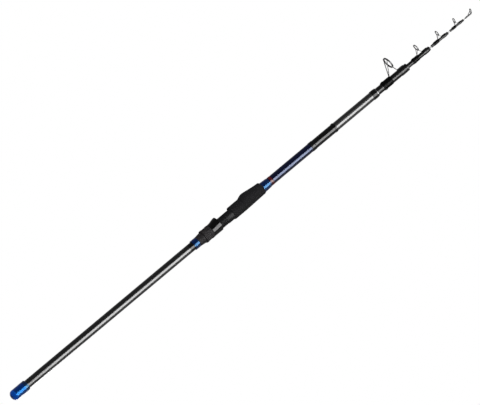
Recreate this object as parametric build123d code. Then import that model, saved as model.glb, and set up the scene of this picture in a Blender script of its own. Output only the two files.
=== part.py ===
from build123d import *
import os
from dataclasses import dataclass
from math import sqrt

# A telescopic surf rod, closed. It stands on its butt cap at the origin: heights run along +Z
# to the tip, and the reel seat's bed and the line guides face -X. All sizes are in millimetres.

# Clearances, and the overrun of every cut
bond_gap = 0.03
slide_gap = 0.3
fit_gap = 0.05
thread_gap = 0.1
overrun = 5.0

# Butt cap, a screwed cup that closes the rod and lets the sections out for cleaning
cap_wall = 1.4
cap_floor = 13.5
cap_end_round = 11.0
cap_mouth_round_share = 0.8
cap_groove_depth = 0.4
cap_groove_width = 1.2
cap_rim_length = 2.8

# Threaded collar on the tube's end, its seal, and the rubber bumper that the sections rest on
collar_thickness = 0.9
collar_pitch = 2.0
collar_thread_depth = 0.5
collar_plain_length = 13.0
cap_thread_length = 16.0
seal_section_d = 1.6
seal_mouth_gap = 1.2
bumper_flange = 3.4
bumper_plug_length = 30.0
bumper_round = 1.0

# Butt tube, from its butt end: the handle, then above the reel seat a lacquered stretch on both
# sides of the middle wrap, and a bare stretch up to the mouth
handle_d = 21.0
handle_length = 522.0
lacquer_thickness = 0.4
lacquer_rear_length = 132.0
lacquer_front_length = 66.0
bare_length = 132.0
bare_step = 0.25
bare_taper_step = 0.2
butt_mouth_wall = 1.1
butt_bore_slope = 0.0012
butt_bore_taper_length = 300.0

# Trim ring and cone behind the reel seat
rear_ring_length = 14.0
rear_ring_thickness = 1.9
rear_ring_round = 0.6
rear_cone_length = 17.0
rear_cone_rear_thickness = 1.6
rear_cone_front_thickness = 3.7
rear_cone_round = 0.8

# Barrel of the reel seat, on its arbors
arbor_thickness = 0.8
arbor_length = 14.0
arbor_count = 3
seat_wall = 1.7
seat_thread_pitch = 2.0
seat_thread_depth = 0.6
seat_thread_spare = 6.0
seat_smooth_step = 0.6
foot_bed_wall = 1.0
foot_width = 15.0
foot_side_gap = 0.4
foot_room = 40.0

# Lock nut
nut_length = 24.0
nut_wall = 2.6
nut_waist_depth = 0.6
nut_round = 1.6
nut_groove_d = 2.4
nut_groove_count = 18

# Sliding hood and its liner
hood_length = 25.0
hood_side = 2.3
hood_mouth_rise = 3.7
hood_shoulder_share = 0.2
hood_wall = 1.6
hood_key_length = 8.0
hood_travel = 14.0
liner_thickness = 0.5

# Fixed hood
fixed_hood_length = 33.0
fixed_hood_top_side = 2.3
fixed_hood_bottom_side = 1.9
fixed_hood_wall = 1.4
fixed_hood_pocket = 14.0
fixed_hood_round = 1.0

# Foregrip, a foam grip with a swell on the guide side, and the trim in front of it
grip_length = 63.0
grip_front_top_step = 2.9
grip_front_bottom_step = 1.4
grip_swell = 4.6
grip_swell_shares = [(0, 0), (0.08, 0.49), (0.22, 1), (0.36, 0.89), (0.6, 0.47), (0.82, 0.15), (1, 0)]
grip_round = 1.2
front_ring_length = 21.0
front_ring_rear_thickness = 2.0
front_ring_front_thickness = 0.8
front_ring_round = 0.6
accent_gap = 3.0
accent_length = 7.0
accent_thickness = 0.25

# Wraps and rings on the butt tube's upper part
mid_wrap_length = 12.0
wrap_thickness = 0.7
wrap_ramp = 1.6
lacquer_ring_length = 4.8
lacquer_ring_thickness = 0.9
mouth_wrap_length = 13.0
mouth_ring_length = 2.6
mouth_ring_thickness = 0.6

# Second section. A slope is a change of radius over a length.
section_2_overlap = 140.0
section_2_slope = 0.00028
section_2_mouth_wall = 1.1
section_2_bore_slope = 0.0012
section_2_bore_taper_length = 200.0
section_2_ring_length = 5.0
section_2_ring_thickness = 0.5

# Third section
section_3_overlap = 120.0
section_3_slope = 0.00206
section_3_mouth_wall = 0.85
section_3_bore_slope = 0.00208
section_3_bore_taper_length = 1240.0

# Tip section
tip_overlap = 100.0
tip_slope = 0.00257
tip_wall = 0.9
tip_bore_length = 980.0

# Tip top, a closed tube with a ring that is braced back to a saddle on it
tip_tube_gap = 4.6
tip_tube_length = 21.0
tip_tube_wall = 0.3
tip_tube_end = 3.0
tip_saddle_length = 6.0
tip_saddle_thickness = 0.45
tip_saddle_rise = 5.0
tip_ring_d = 10.8
tip_ring_width = 1.6
tip_ring_wall = 0.6
tip_ring_insert = 1.1
tip_ring_lean = 15.0
tip_rim_reach = 0.1
tip_ring_ahead = 5.4
tip_ring_wire_d = 1.0
tip_ring_leg_share = 0.1

# Foot pieces under the guide wraps, common to all guides
wrap_margin = 2.0
foot_end_share = 0.45


@dataclass
class Guide:
    """A line guide: its ring, the wires that hold it, and its two feet under their wraps."""

    rim_reach: float
    ring_d: float
    ring_width: float
    frame_wall: float
    insert_thickness: float
    lean: float
    wire_d: float
    rear_leg_share: float
    rear_leg_back: float
    rear_foot_length: float
    rear_bare: float
    front_leg_ahead: float
    front_foot_length: float
    front_bare: float
    foot_breadth: float
    foot_thickness: float
    wrap_cover: float

    def reach(self):
        """From the rod's axis to the middle of the ring."""
        return self.rim_reach + self.ring_d / 2

    def rear_span(self):
        """Along the blank, from the middle of the ring to the end of the bare stretch behind it."""
        return self.rear_leg_back + self.rear_foot_length + wrap_margin + self.rear_bare

    def front_span(self):
        return self.front_leg_ahead + self.front_foot_length + wrap_margin + self.front_bare


guide_1 = Guide(
    rim_reach=20.2, ring_d=30.0, ring_width=3.2, frame_wall=0.9, insert_thickness=2.3, lean=-7.0,
    wire_d=1.9, rear_leg_share=0.48, rear_leg_back=19.0, rear_foot_length=28.0, rear_bare=18.6,
    front_leg_ahead=5.0, front_foot_length=17.0, front_bare=5.4,
    foot_breadth=5.0, foot_thickness=0.9, wrap_cover=0.8,
)
guide_2 = Guide(
    rim_reach=12.4, ring_d=17.0, ring_width=2.0, frame_wall=0.8, insert_thickness=1.5, lean=-4.0,
    wire_d=1.4, rear_leg_share=-0.3, rear_leg_back=9.0, rear_foot_length=19.0, rear_bare=16.4,
    front_leg_ahead=4.0, front_foot_length=14.0, front_bare=4.0,
    foot_breadth=3.6, foot_thickness=0.7, wrap_cover=0.7,
)
guide_3 = Guide(
    rim_reach=8.4, ring_d=13.8, ring_width=1.7, frame_wall=0.7, insert_thickness=1.2, lean=-2.6,
    wire_d=1.2, rear_leg_share=-0.3, rear_leg_back=7.0, rear_foot_length=15.0, rear_bare=6.8,
    front_leg_ahead=3.0, front_foot_length=11.0, front_bare=4.9,
    foot_breadth=2.8, foot_thickness=0.55, wrap_cover=0.6,
)
guide_4 = Guide(
    rim_reach=6.6, ring_d=12.2, ring_width=1.6, frame_wall=0.6, insert_thickness=1.1, lean=10.0,
    wire_d=1.1, rear_leg_share=-0.3, rear_leg_back=5.0, rear_foot_length=11.0, rear_bare=6.4,
    front_leg_ahead=3.0, front_foot_length=8.0, front_bare=5.3,
    foot_breadth=2.2, foot_thickness=0.45, wrap_cover=0.5,
)

# Sleeves of the two sliding guides, and how far each slides back before the blank fills its bore
sleeve_gap = 6.8
sleeve_3_wall = 0.9
sleeve_3_travel = 356.0
sleeve_4_wall = 0.9
sleeve_4_travel = 126.0

# How round a ring insert's inner edges are, as a share of its width, how thin a wire's end is, and
# a thread's flank
insert_round_share = 0.42
wire_nose_share = 0.6
thread_flank_share = 0.3

# Heights that follow from the sizes above, from the butt end to the tip
collar_height = cap_floor + bumper_flange + 2 * slide_gap
cap_length = collar_height + cap_thread_length + collar_plain_length
bumper_top = collar_height + bumper_plug_length
section_bottom = bumper_top + slide_gap
rear_ring_height = cap_length + handle_length
cone_height = rear_ring_height + rear_ring_length + bond_gap
barrel_height = cone_height + rear_cone_length + bond_gap
nut_height = barrel_height + slide_gap
hood_height = nut_height + nut_length + slide_gap
hood_mouth = hood_height + hood_length
fixed_hood_height = hood_mouth + foot_room
barrel_end = fixed_hood_height + fixed_hood_length
grip_height = barrel_end + bond_gap
front_ring_height = grip_height + grip_length + bond_gap
front_ring_end = front_ring_height + front_ring_length
accent_height = front_ring_end + accent_gap
mid_wrap_height = front_ring_end + lacquer_rear_length
lacquer_end_height = mid_wrap_height + mid_wrap_length + lacquer_front_length
butt_mouth_height = lacquer_end_height + bare_length
guide_1_height = butt_mouth_height + guide_1.rear_span()
section_2_mouth_height = guide_1_height + guide_1.front_span()
guide_2_height = section_2_mouth_height + guide_2.rear_span()
section_3_mouth_height = guide_2_height + guide_2.front_span()
sleeve_3_height = section_3_mouth_height + sleeve_gap
guide_3_height = sleeve_3_height + guide_3.rear_span()
sleeve_3_top = guide_3_height + guide_3.front_span()
sleeve_4_height = sleeve_3_top + sleeve_gap
guide_4_height = sleeve_4_height + guide_4.rear_span()
sleeve_4_top = guide_4_height + guide_4.front_span()
tip_tube_height = sleeve_4_top + tip_tube_gap
tip_tube_top = tip_tube_height + tip_tube_length
tip_end_height = tip_tube_top - tip_tube_end

# Radii that follow, from the tube outwards
handle_r = handle_d / 2
collar_r = handle_r + collar_thickness
cap_bore_r = collar_r + thread_gap
cap_r = cap_bore_r + cap_wall
lacquer_r = handle_r + lacquer_thickness
bare_r = lacquer_r - bare_step
butt_mouth_r = bare_r - bare_taper_step
butt_mouth_bore_r = butt_mouth_r - butt_mouth_wall
seat_bore_r = handle_r + arbor_thickness
seat_thread_r = seat_bore_r + seat_wall + seat_thread_depth
seat_smooth_r = seat_thread_r + seat_smooth_step
foot_bed_reach = seat_bore_r + foot_bed_wall
nut_bore_r = seat_thread_r + thread_gap
nut_r = nut_bore_r + nut_wall
hood_r = nut_bore_r + hood_side
hood_mouth_top = hood_r + hood_mouth_rise
fixed_hood_top = seat_smooth_r + fixed_hood_top_side
fixed_hood_bottom = seat_smooth_r + fixed_hood_bottom_side
outside_seat_r = max(hood_mouth_top, fixed_hood_top) + overrun
front_ring_rear_r = lacquer_r + front_ring_rear_thickness
front_ring_front_r = lacquer_r + front_ring_front_thickness
grip_front_top = front_ring_rear_r + grip_front_top_step
grip_front_bottom = front_ring_rear_r + grip_front_bottom_step


def line_r(z, z_0, r_0, z_1, r_1):
    """The radius at height z on the straight line from (z_0, r_0) to (z_1, r_1)."""
    return r_0 + (r_1 - r_0) * (z - z_0) / (z_1 - z_0)


@dataclass
class Blank:
    """One section of the rod: straight tapers outside, and a bore that widens from its mouth."""

    bottom: float
    mouth: float
    bottom_r: float
    jam_height: float
    jam_r: float
    mouth_r: float
    bore_mouth_r: float
    bore_slope: float
    bore_taper_length: float

    def outside_r(self, z):
        if z < self.jam_height:
            return line_r(z, self.bottom, self.bottom_r, self.jam_height, self.jam_r)
        return line_r(z, self.jam_height, self.jam_r, self.mouth, self.mouth_r)

    def bore_end(self):
        return max(self.mouth - self.bore_taper_length, self.bottom + slide_gap)

    def bore_r(self, z):
        return self.bore_mouth_r + self.bore_slope * (self.mouth - max(z, self.bore_end()))


def nested(outer_bore_r, outer_slope, overlap, mouth, slope, wall=0, bore_slope=0, taper_length=0):
    """A section that jams in the mouth outside it when it is drawn out to its overlap."""
    jam_r = outer_bore_r - fit_gap
    jam_height = section_bottom + overlap
    mouth_r = jam_r - slope * (mouth - jam_height)
    return Blank(
        section_bottom, mouth, jam_r + outer_slope * overlap, jam_height, jam_r, mouth_r,
        mouth_r - wall, bore_slope, taper_length,
    )


section_2 = nested(
    butt_mouth_bore_r, butt_bore_slope, section_2_overlap, section_2_mouth_height, section_2_slope,
    section_2_mouth_wall, section_2_bore_slope, section_2_bore_taper_length,
)
section_3 = nested(
    section_2.bore_mouth_r, section_2_bore_slope, section_3_overlap, section_3_mouth_height,
    section_3_slope, section_3_mouth_wall, section_3_bore_slope, section_3_bore_taper_length,
)
tip = nested(section_3.bore_mouth_r, section_3_bore_slope, tip_overlap, tip_end_height, tip_slope)
section_2_travel = butt_mouth_height - section_bottom - section_2_overlap
section_3_travel = section_2_mouth_height - section_bottom - section_3_overlap
tip_travel = section_3_mouth_height - section_bottom - tip_overlap

# Radii on the tip section: each sleeve's bore fits the blank where the sleeve jams
sleeve_3_bore_r = tip.outside_r(sleeve_3_height - sleeve_3_travel) + fit_gap
sleeve_3_outer_r = sleeve_3_bore_r + sleeve_3_wall
sleeve_4_bore_r = tip.outside_r(sleeve_4_height - sleeve_4_travel) + fit_gap
sleeve_4_outer_r = sleeve_4_bore_r + sleeve_4_wall
tip_tube_bore_r = tip.outside_r(tip_tube_height) + bond_gap
tip_tube_outer_r = tip_tube_bore_r + tip_tube_wall


def turned(*corners):
    """Turns an outline about the rod's axis. A corner is (radius, height) or also has a rounding."""
    points = [corner[:2] for corner in corners]
    face = make_face(Plane.XZ * Polyline(*points, close=True))
    for corner in corners:
        if len(corner) == 3:
            radius, height, rounding = corner
            vertex = face.vertices().sort_by_distance((radius, 0, height))[0]
            face = fillet(vertex, rounding)
    return revolve(face, Axis.Z)


def sleeve(z_0, z_1, inner_r, outer_r):
    """A plain straight tube, or a rod where its inner radius is 0."""
    return turned((inner_r, z_0), (outer_r, z_0), (outer_r, z_1), (inner_r, z_1))


def block(x_0, x_1, y_0, y_1, z_0, z_1):
    """A box between two opposite corners."""
    middle = ((x_0 + x_1) / 2, (y_0 + y_1) / 2, (z_0 + z_1) / 2)
    return Pos(*middle) * Box(x_1 - x_0, y_1 - y_0, z_1 - z_0)


def offset_circle(z, top, bottom):
    """A circle at height z that reaches top on the guide side and bottom on the other side."""
    centre_x = (bottom - top) / 2
    return Pos(centre_x, 0, z) * Circle((top + bottom) / 2)


def threaded_outline(z_0, z_1, major_r, depth, pitch):
    """Ridges of a thread, drawn as rings, as outline corners from z_0 up to z_1."""
    count = int((z_1 - z_0) / pitch)
    flank = pitch * thread_flank_share
    root_r = major_r - depth
    corners = [(root_r, z_0)]
    for turn in range(count):
        z = z_0 + turn * pitch
        corners += [(major_r, z + flank), (major_r, z + pitch - flank), (root_r, z + pitch)]
    return corners


def bar(start, end, diameter):
    """A round wire from one point to another, drawn in at both ends."""
    start, end = Vector(*start), Vector(*end)
    run = end - start
    wire_r = diameter / 2
    nose_r = wire_r * wire_nose_share
    nose = wire_r - nose_r / 2
    wire = turned(
        (0, -nose), (nose_r, -nose), (wire_r, 0),
        (wire_r, run.length), (nose_r, run.length + nose), (0, run.length + nose),
    )
    return Plane(origin=start, z_dir=run) * wire


# Butt end


def butt_cap():
    groove_top = cap_length - cap_rim_length
    groove_bottom = groove_top - cap_groove_width
    return turned(
        (0, 0),
        (cap_r, 0, cap_end_round),
        (cap_r, groove_bottom),
        (cap_r - cap_groove_depth, groove_bottom + cap_groove_depth),
        (cap_r - cap_groove_depth, groove_top - cap_groove_depth),
        (cap_r, groove_top),
        (cap_r, cap_length, cap_wall * cap_mouth_round_share),
        (cap_bore_r, cap_length),
        (cap_bore_r, cap_floor),
        (0, cap_floor),
    )


def butt_collar():
    """Bonded over the tube's end, with the seal's groove near the cap's mouth."""
    seal_top = cap_length - seal_mouth_gap
    seal_bottom = seal_top - seal_section_d
    inner_r = handle_r + bond_gap
    groove_r = collar_r - collar_thread_depth
    ridges = threaded_outline(
        collar_height, collar_height + cap_thread_length, collar_r, collar_thread_depth, collar_pitch
    )
    return turned(
        (inner_r, collar_height),
        *ridges,
        (collar_r, ridges[-1][1]),
        (collar_r, seal_bottom),
        (groove_r, seal_bottom),
        (groove_r, seal_top),
        (collar_r, seal_top),
        (collar_r, cap_length),
        (inner_r, cap_length),
    )


def collar_seal():
    """A rubber ring in the collar's groove, squeezed flat on both sides."""
    inner_r = collar_r - collar_thread_depth + bond_gap
    outer_r = collar_r + thread_gap / 2
    top = cap_length - seal_mouth_gap - bond_gap
    bottom = cap_length - seal_mouth_gap - seal_section_d + bond_gap
    rounding = (outer_r - inner_r) / 3
    return turned(
        (inner_r, bottom), (outer_r, bottom, rounding), (outer_r, top, rounding), (inner_r, top)
    )


def cap_bumper():
    flange_top = collar_height - slide_gap
    plug_r = butt_bore_r(0) - slide_gap
    return turned(
        (0, flange_top - bumper_flange),
        (handle_r, flange_top - bumper_flange),
        (handle_r, flange_top),
        (plug_r, flange_top),
        (plug_r, bumper_top, bumper_round),
        (0, bumper_top),
    )


# Butt tube and its trim


def butt_bore_r(z):
    depth = min(butt_mouth_height - z, butt_bore_taper_length)
    return butt_mouth_bore_r + butt_bore_slope * depth


def upper_tube_r(z):
    """Outside radius of the tube's bare stretch, from the lacquer's end to the mouth."""
    return line_r(z, lacquer_end_height, bare_r, butt_mouth_height, butt_mouth_r)


def butt_tube():
    taper_start = butt_mouth_height - butt_bore_taper_length
    return turned(
        (butt_bore_r(0), collar_height),
        (handle_r, collar_height),
        (handle_r, front_ring_height),
        (lacquer_r, front_ring_height),
        (lacquer_r, lacquer_end_height),
        (bare_r, lacquer_end_height),
        (butt_mouth_r, butt_mouth_height),
        (butt_bore_r(butt_mouth_height), butt_mouth_height),
        (butt_bore_r(taper_start), taper_start),
    )


def round_ring(z, length, inner_r, rear_r, front_r, rounding):
    """A trim ring with softened outer edges."""
    return turned(
        (inner_r, z), (rear_r, z, rounding), (front_r, z + length, rounding), (inner_r, z + length)
    )


def rear_trim_ring():
    outer_r = handle_r + rear_ring_thickness
    return round_ring(
        rear_ring_height, rear_ring_length, handle_r + bond_gap, outer_r, outer_r, rear_ring_round
    )


def rear_cone():
    return round_ring(
        cone_height, rear_cone_length, handle_r + bond_gap, handle_r + rear_cone_rear_thickness,
        handle_r + rear_cone_front_thickness, rear_cone_round,
    )


def front_trim_ring():
    return round_ring(
        front_ring_height, front_ring_length, lacquer_r + bond_gap, front_ring_rear_r,
        front_ring_front_r, front_ring_round,
    )


def band(z_0, z_1, carrier_r, thickness, ramp):
    """A thread wrap under varnish: a thin band whose ends ramp down to what carries it."""
    return turned(
        (carrier_r(z_0) + bond_gap, z_0),
        (carrier_r(z_0) + thickness / 3, z_0),
        (carrier_r(z_0 + ramp) + thickness, z_0 + ramp),
        (carrier_r(z_1 - ramp) + thickness, z_1 - ramp),
        (carrier_r(z_1) + thickness / 3, z_1),
        (carrier_r(z_1) + bond_gap, z_1),
    )


def lacquered(z):
    return lacquer_r


def accent_band():
    ramp = accent_thickness
    return band(accent_height, accent_height + accent_length, lacquered, accent_thickness, ramp)


def mid_wrap():
    return band(mid_wrap_height, mid_wrap_height + mid_wrap_length, lacquered, wrap_thickness, wrap_ramp)


def lacquer_ring():
    """A thin ring that covers the lacquer's edge from behind."""
    top = lacquer_end_height
    inner_r = lacquer_r + bond_gap
    outer_r = lacquer_r + lacquer_ring_thickness
    rounding = lacquer_ring_thickness / 2
    return round_ring(top - lacquer_ring_length, lacquer_ring_length, inner_r, outer_r, outer_r, rounding)


def mouth_wrap():
    top = butt_mouth_height - mouth_ring_length - bond_gap
    return band(top - mouth_wrap_length, top, upper_tube_r, wrap_thickness + mouth_ring_thickness / 2,
                wrap_ramp)


def mouth_ring():
    """A metal ring over the tube's mouth that keeps it from splitting."""
    bottom = butt_mouth_height - mouth_ring_length
    outer_r = upper_tube_r(bottom) + mouth_ring_thickness
    return round_ring(
        bottom, mouth_ring_length, upper_tube_r(bottom) + bond_gap, outer_r, outer_r,
        mouth_ring_thickness / 2,
    )


# Reel seat


def foot_bed_cut(z_0, z_1):
    """The flat channel on the guide side that a reel's foot lies in and the hood's key runs in."""
    half = foot_width / 2 + foot_side_gap
    return block(-outside_seat_r, -foot_bed_reach, -half, half, z_0, z_1)


def seat_barrel():
    thread_end = hood_mouth + hood_travel + seat_thread_spare
    ridges = threaded_outline(
        barrel_height, thread_end, seat_thread_r, seat_thread_depth, seat_thread_pitch
    )
    body = turned(
        (seat_bore_r, barrel_height),
        *ridges,
        (seat_thread_r, ridges[-1][1]),
        (seat_smooth_r, thread_end + seat_thread_pitch),
        (seat_smooth_r, barrel_end),
        (seat_bore_r, barrel_end),
    )
    return body - foot_bed_cut(barrel_height - overrun, fixed_hood_height + fixed_hood_pocket)


def seat_arbors():
    """Rings that centre the seat's barrel on the thinner tube, spaced evenly along it."""
    room = barrel_end - barrel_height - arbor_length
    rings = []
    for i in range(arbor_count):
        z = barrel_height + room * i / (arbor_count - 1)
        rings.append(sleeve(z, z + arbor_length, handle_r + bond_gap, seat_bore_r - bond_gap))
    return Compound(children=rings)


def lock_nut():
    """The round nut that pushes the hood. Its thread is drawn as a plain running bore."""
    waist_r = nut_r - nut_waist_depth
    top = nut_height + nut_length
    waist_start = nut_height + nut_length / 4
    waist_end = top - nut_length / 4
    body = turned(
        (nut_bore_r, nut_height),
        (nut_r, nut_height, nut_round),
        (nut_r, waist_start),
        (waist_r, waist_start + nut_round),
        (waist_r, waist_end - nut_round),
        (nut_r, waist_end),
        (nut_r, top, nut_round),
        (nut_bore_r, top),
    )
    groove_r = nut_groove_d / 2
    groove_length = nut_length - 4 * nut_round
    groove = Pos(nut_r + groove_r / 2, 0, nut_height + nut_length / 2) * Cylinder(groove_r, groove_length)
    turn = 360 / nut_groove_count
    grooves = [Rot(Z=(i + 1 / 2) * turn) * groove for i in range(nut_groove_count)]
    return body - grooves


def hood_shell(inset):
    """The hood's round body, swelling to its mouth on the guide side, drawn inwards by an inset."""
    side = hood_r - inset
    circles = [
        offset_circle(hood_height, side, side),
        offset_circle(hood_height + hood_length * hood_shoulder_share, side, side),
        offset_circle(hood_mouth, hood_mouth_top - inset, side),
    ]
    return loft(circles, ruled=True)


def hood_pocket(inset, z_0, z_1):
    """The room under the sliding hood's roof for a reel foot's end."""
    half = foot_width / 2 + foot_side_gap - inset
    room = hood_shell(hood_wall + inset)
    return room & block(-outside_seat_r, -foot_bed_reach - slide_gap, -half, half, z_0, z_1)


def sliding_hood():
    """Slides on the barrel without turning, because its key runs in the foot's channel."""
    shell = hood_shell(0)
    middle = (hood_height + hood_mouth) / 2
    bore = Pos(0, 0, middle) * Cylinder(nut_bore_r, hood_length + overrun)
    key = block(
        -outside_seat_r, -foot_bed_reach - slide_gap, -foot_width / 2, foot_width / 2,
        hood_height - overrun, hood_height + hood_key_length,
    )
    pocket = hood_pocket(0, hood_height + hood_key_length, hood_mouth)
    return shell - (bore - key) - pocket


def hood_liner():
    """A thin cushion under the hood's roof that grips the reel foot."""
    start = hood_height + hood_key_length + bond_gap
    outside = hood_pocket(bond_gap, start, hood_mouth - bond_gap)
    inside = hood_pocket(bond_gap + liner_thickness, start - overrun, hood_mouth + overrun)
    return outside - inside


def fixed_pocket(inset, z_0, z_1):
    """The room under the fixed hood's roof for the front end of a reel foot."""
    half = foot_width / 2 + foot_side_gap - inset
    roof = Pos(0, 0, fixed_hood_height) * Cylinder(
        fixed_hood_top - fixed_hood_wall - inset, 2 * fixed_hood_length
    )
    return roof & block(-outside_seat_r, -foot_bed_reach, -half, half, z_0, z_1)


def fixed_hood():
    """The hood bonded on the barrel's front, open towards the butt for the reel foot."""
    shell = loft([
        offset_circle(fixed_hood_height, fixed_hood_top, fixed_hood_bottom),
        offset_circle(barrel_end, fixed_hood_top, fixed_hood_bottom),
    ])
    shell = fillet(shell.edges().group_by(Axis.Z)[0], fixed_hood_round)
    middle = (fixed_hood_height + barrel_end) / 2
    bore_r = seat_smooth_r + bond_gap
    bore = Pos(0, 0, middle) * Cylinder(bore_r, fixed_hood_length + overrun)
    pocket_end = fixed_hood_height + fixed_hood_pocket
    return shell - bore - fixed_pocket(0, fixed_hood_height - overrun, pocket_end)


def fixed_hood_liner():
    """A cushion plate under the fixed hood's roof."""
    end = fixed_hood_height + fixed_hood_pocket - bond_gap
    start = fixed_hood_height + fixed_hood_round
    outside = fixed_pocket(bond_gap, start, end)
    inside = fixed_pocket(bond_gap + liner_thickness, start - overrun, end + overrun)
    return outside - inside - sleeve(start - overrun, end + overrun, 0, seat_smooth_r)


def foregrip():
    circles = []
    for share, swell_share in grip_swell_shares:
        z = grip_height + grip_length * share
        top = line_r(share, 0, fixed_hood_top, 1, grip_front_top) + grip_swell * swell_share
        bottom = line_r(share, 0, fixed_hood_bottom, 1, grip_front_bottom)
        circles.append(offset_circle(z, top, bottom))
    body = loft(circles)
    body = fillet(body.edges().group_by(Axis.Z)[-1], grip_round)
    middle = grip_height + grip_length / 2
    return body - Pos(0, 0, middle) * Cylinder(handle_r + bond_gap, grip_length + overrun)


# Sections of the blank


def section_tube(blank):
    bore_end = blank.bore_end()
    return turned(
        (blank.bore_r(blank.bottom), blank.bottom),
        (blank.outside_r(blank.bottom), blank.bottom),
        (blank.jam_r, blank.jam_height),
        (blank.mouth_r, blank.mouth),
        (blank.bore_r(blank.mouth), blank.mouth),
        (blank.bore_r(bore_end), bore_end),
    )


def section_2_mouth_ring():
    """A ring at the second section's mouth, tapering down to it."""
    bottom = section_2_mouth_height - section_2_ring_length
    carrier_r = section_2.outside_r(bottom)
    return round_ring(
        bottom, section_2_ring_length, carrier_r + bond_gap, carrier_r + section_2_ring_thickness,
        carrier_r + section_2_ring_thickness / 2, section_2_ring_thickness / 5,
    )


def tip_blank():
    """The thinnest section: hollow from its butt end, and solid where it is too thin for a bore."""
    bottom_bore_r = tip.bottom_r - tip_wall
    bore_top = tip.bottom + tip_bore_length
    bore_top_r = tip.outside_r(bore_top) - tip_wall
    return turned(
        (bottom_bore_r, tip.bottom),
        (tip.bottom_r, tip.bottom),
        (tip.jam_r, tip.jam_height),
        (tip.mouth_r, tip.mouth),
        (0, tip.mouth),
        (0, bore_top),
        (bore_top_r, bore_top),
    )


# Guides


def ring_place(height, reach, lean):
    """Where a guide's ring sits, leaning towards the tip where lean is above 0."""
    return Pos(-reach, 0, height) * Rot(Y=lean)


def ring_rim(outer_r, wall, width):
    """The metal rim of a guide ring, about the origin."""
    rounding = wall / 3
    return turned(
        (outer_r - wall, -width / 2), (outer_r, -width / 2, rounding),
        (outer_r, width / 2, rounding), (outer_r - wall, width / 2),
    )


def ring_insert(rim_inner_r, thickness, width):
    """The ceramic ring that the line runs on, rounded towards its hole."""
    outer_r = rim_inner_r - bond_gap
    inner_r = outer_r - thickness
    rounding = width * insert_round_share
    return turned(
        (outer_r, -width / 2), (outer_r, width / 2),
        (inner_r, width / 2, rounding), (inner_r, -width / 2, rounding),
    )


def saddle(z_near, z_far, carrier_r, inner, outer, near_breadth, far_breadth):
    """A plate on the blank's guide side, between two offsets from the blank's surface, that narrows
    from its near end to its far end."""
    z_0, z_1 = min(z_near, z_far), max(z_near, z_far)
    shell = turned(
        (carrier_r(z_0) + inner, z_0), (carrier_r(z_0) + outer, z_0),
        (carrier_r(z_1) + outer, z_1), (carrier_r(z_1) + inner, z_1),
    )
    corners = [
        (-near_breadth / 2, z_near), (near_breadth / 2, z_near),
        (far_breadth / 2, z_far), (-far_breadth / 2, z_far),
    ]
    plan = make_face(Plane.YZ * Polyline(*corners, close=True))
    depth = carrier_r(z_0) + outer + overrun
    return shell & extrude(plan, depth, dir=(-1, 0, 0))


def guide_feet(guide, height):
    """The (near, far) heights of the rear foot and of the front foot, seen from the ring."""
    rear_near = height - guide.rear_leg_back
    front_near = height + guide.front_leg_ahead
    return [
        (rear_near, rear_near - guide.rear_foot_length),
        (front_near, front_near + guide.front_foot_length),
    ]


def guide_frame(guide, height, carrier_r):
    """The ring's rim, two wires down to the rear foot, one to the front foot, and both feet."""
    place = ring_place(height, guide.reach(), guide.lean)
    rim_middle_r = guide.ring_d / 2 - guide.frame_wall / 2
    frame = place * ring_rim(guide.ring_d / 2, guide.frame_wall, guide.ring_width)
    (rear_near, rear_far), (front_near, front_far) = guide_feet(guide, height)
    for near, far in ((rear_near, rear_far), (front_near, front_far)):
        far_breadth = guide.foot_breadth * foot_end_share
        frame += saddle(
            near, far, carrier_r, bond_gap, guide.foot_thickness, guide.foot_breadth, far_breadth
        )
    low = (place * Pos(rim_middle_r, 0, 0)).position
    front_foot = front_near + guide.wire_d / 2
    front_x = -carrier_r(front_foot) - guide.foot_thickness / 2
    legs = bar(low, (front_x, 0, front_foot), guide.wire_d)
    side = sqrt(1 - guide.rear_leg_share**2) * rim_middle_r
    foot_y = guide.foot_breadth / 2 - guide.wire_d / 2
    rear_foot = rear_near - guide.wire_d / 2
    rear_x = -sqrt((carrier_r(rear_foot) + guide.foot_thickness / 2) ** 2 - foot_y**2)
    for y_sign in (-1, 1):
        on_rim = Pos(-rim_middle_r * guide.rear_leg_share, y_sign * side, -guide.ring_width / 2)
        legs += bar((place * on_rim).position, (rear_x, y_sign * foot_y, rear_foot), guide.wire_d)
    return frame + cut_legs(legs, place, rim_middle_r, guide.ring_width, carrier_r,
                            guide.foot_thickness, rear_far, front_far)


def cut_legs(legs, place, rim_middle_r, ring_width, carrier_r, foot_thickness, z_0, z_1):
    """Cuts the wires off in the middle of the rim's wall and of the feet's thickness."""
    insert_room = place * Cylinder(rim_middle_r, ring_width + 2 * bond_gap)
    inner = (bond_gap + foot_thickness) / 2
    z_0, z_1 = z_0 - overrun, z_1 + overrun
    blank = turned((0, z_0), (carrier_r(z_0) + inner, z_0), (carrier_r(z_1) + inner, z_1), (0, z_1))
    return legs - insert_room - blank


def guide_ring(guide, height):
    place = ring_place(height, guide.reach(), guide.lean)
    rim_inner_r = guide.ring_d / 2 - guide.frame_wall
    return place * ring_insert(rim_inner_r, guide.insert_thickness, guide.ring_width)


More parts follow.
